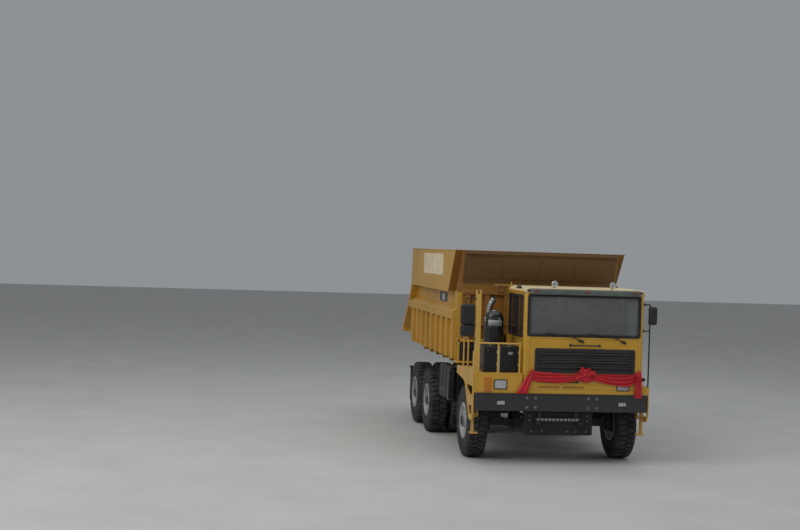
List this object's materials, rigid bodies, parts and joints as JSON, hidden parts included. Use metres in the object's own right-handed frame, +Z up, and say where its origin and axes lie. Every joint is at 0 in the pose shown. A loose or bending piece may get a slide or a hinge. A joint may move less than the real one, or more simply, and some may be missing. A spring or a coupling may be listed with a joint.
{
  "type": "mining dump truck",
  "caption": "Wide-bodied off-highway tipping truck with an offset cab, a railed equipment platform beside it, twin rear wheels and a canopied steel body raised by a telescopic front hoist.",
  "frame": {"origin": "on the ground under the middle of the truck", "axes": "+Z up, -Y towards the front of the truck, +X towards its left side"},
  "size_m": [3.695, 8.64, 3.86],
  "materials": {
    "yellow_paint": "satin industrial paint, lightly dusted",
    "charcoal_paint": "satin",
    "black_paint": "semi-gloss",
    "frame_grey": "satin",
    "rail_paint": "satin",
    "rim_paint": "gloss",
    "cast_grey": "rough cast",
    "bare_steel": "brushed",
    "black_plastic": "grained",
    "tyre": "moulded",
    "window_glass": "clear, lightly tinted",
    "lamp_glass": "clear lens",
    "seat_fabric": "woven",
    "red_cloth": "satin ribbon"
  },
  "bodies": {
    "chassis": {"chassis_frame": "frame_grey", "frame_brackets": "frame_grey", "hoist_cradle": "frame_grey", "front_bumper": "charcoal_paint", "platform_right": "yellow_paint", "fender_left": "yellow_paint", "boarding_steps": "yellow_paint", "railing": "rail_paint", "mirrors": "black_plastic", "cab_floor": "charcoal_paint", "cab_front": "yellow_paint", "cab_roof": "yellow_paint", "cab_rear_wall": "yellow_paint", "cab_side_right": "yellow_paint", "cab_side_left": "yellow_paint", "cab_glass": "window_glass", "grille": "charcoal_paint", "sun_visor": "black_plastic", "dashboard": "black_plastic", "steering_wheel": "black_plastic", "seats": "seat_fabric", "lamps": "lamp_glass", "cooler_boxes": "black_paint", "air_cleaner": "black_paint", "exhaust": "bare_steel", "hydraulic_tank": "black_paint", "fuel_tanks": "black_paint", "engine_block": "cast_grey", "driveline": "cast_grey", "front_axle": "cast_grey", "rear_axles": "cast_grey", "leaf_springs": "charcoal_paint", "ribbon": "red_cloth"},
    "door": {"door_left": "yellow_paint", "door_glass": "window_glass"},
    "dump_body": {"body_floor": "yellow_paint", "body_side_left": "yellow_paint", "body_side_right": "yellow_paint", "body_front_wall": "yellow_paint", "body_canopy": "yellow_paint"},
    "hoist_barrel": {"hoist_barrel": "charcoal_paint"},
    "hoist_stage_1": {"hoist_stage_1": "bare_steel"},
    "hoist_stage_2": {"hoist_stage_2": "bare_steel"},
    "hoist_stage_3": {"hoist_stage_3": "bare_steel"},
    "hoist_rod": {"hoist_rod": "bare_steel"},
    "knuckle_left": {"knuckle_left": "cast_grey"},
    "knuckle_right": {"knuckle_right": "cast_grey"},
    "wheel_front_left": {"tyre_front_left": "tyre", "rim_front_left": "rim_paint"},
    "wheel_front_right": {"tyre_front_right": "tyre", "rim_front_right": "rim_paint"},
    "wheels_rear1_left": {"tyres_rear1_left": "tyre", "rims_rear1_left": "rim_paint"},
    "wheels_rear1_right": {"tyres_rear1_right": "tyre", "rims_rear1_right": "rim_paint"},
    "wheels_rear2_left": {"tyres_rear2_left": "tyre", "rims_rear2_left": "rim_paint"},
    "wheels_rear2_right": {"tyres_rear2_right": "tyre", "rims_rear2_right": "rim_paint"}
  },
  "joints": [
    {"name": "dump_hinge", "type": "hinge", "parent": "chassis", "child": "dump_body", "pos_m": [0, 2.9, 1.35], "axis": [-1, 0, 0], "range_deg": [0, 45]},
    {"name": "hoist_tilt", "type": "hinge", "parent": "chassis", "child": "hoist_barrel", "pos_m": [0, -2.67834, 1], "axis": [-1, 0, 0], "range_deg": [0, 22.5]},
    {"name": "hoist_slide_1", "type": "slide", "parent": "hoist_barrel", "child": "hoist_stage_1", "axis": [0, 0.0677, 0.9977], "range_m": [0, 1.0328]},
    {"name": "hoist_slide_2", "type": "slide", "parent": "hoist_stage_1", "child": "hoist_stage_2", "axis": [0, 0.0677, 0.9977], "range_m": [0, 1.0328]},
    {"name": "hoist_slide_3", "type": "slide", "parent": "hoist_stage_2", "child": "hoist_stage_3", "axis": [0, 0.0677, 0.9977], "range_m": [0, 1.0328]},
    {"name": "hoist_slide_4", "type": "slide", "parent": "hoist_stage_3", "child": "hoist_rod", "axis": [0, 0.0677, 0.9977], "range_m": [0, 1.0328]},
    {"name": "steer_left", "type": "hinge", "parent": "chassis", "child": "knuckle_left", "pos_m": [1.22, -3.12, 0.67], "axis": [0, 0, 1], "range_deg": [-30, 30]},
    {"name": "steer_right", "type": "hinge", "parent": "chassis", "child": "knuckle_right", "pos_m": [-1.22, -3.12, 0.67], "axis": [0, 0, 1], "range_deg": [-30, 30]},
    {"name": "wheel_front_left_spin", "type": "hinge", "parent": "knuckle_left", "child": "wheel_front_left", "pos_m": [1.412, -3.12, 0.67], "axis": [1, 0, 0], "continuous": true},
    {"name": "wheel_front_right_spin", "type": "hinge", "parent": "knuckle_right", "child": "wheel_front_right", "pos_m": [-1.412, -3.12, 0.67], "axis": [1, 0, 0], "continuous": true},
    {"name": "wheels_rear1_left_spin", "type": "hinge", "parent": "chassis", "child": "wheels_rear1_left", "pos_m": [1.295, 0.48, 0.67], "axis": [1, 0, 0], "continuous": true},
    {"name": "wheels_rear1_right_spin", "type": "hinge", "parent": "chassis", "child": "wheels_rear1_right", "pos_m": [-1.295, 0.48, 0.67], "axis": [1, 0, 0], "continuous": true},
    {"name": "wheels_rear2_left_spin", "type": "hinge", "parent": "chassis", "child": "wheels_rear2_left", "pos_m": [1.295, 2.08, 0.67], "axis": [1, 0, 0], "continuous": true},
    {"name": "wheels_rear2_right_spin", "type": "hinge", "parent": "chassis", "child": "wheels_rear2_right", "pos_m": [-1.295, 2.08, 0.67], "axis": [1, 0, 0], "continuous": true},
    {"name": "door_hinge", "type": "hinge", "parent": "chassis", "child": "door", "pos_m": [1.504, -4.122, 2.4], "axis": [0, 0, -1], "range_deg": [0, 70]}
  ],
  "couplings": [
    {"joint": "hoist_tilt", "follows": "dump_hinge", "ratio": 0.5},
    {"joint": "hoist_slide_1", "follows": "dump_hinge", "m_per_rad": 1.3149},
    {"joint": "hoist_slide_2", "follows": "dump_hinge", "m_per_rad": 1.3149},
    {"joint": "hoist_slide_3", "follows": "dump_hinge", "m_per_rad": 1.3149},
    {"joint": "hoist_slide_4", "follows": "dump_hinge", "m_per_rad": 1.3149},
    {"joint": "steer_right", "follows": "steer_left", "ratio": 1}
  ]
}
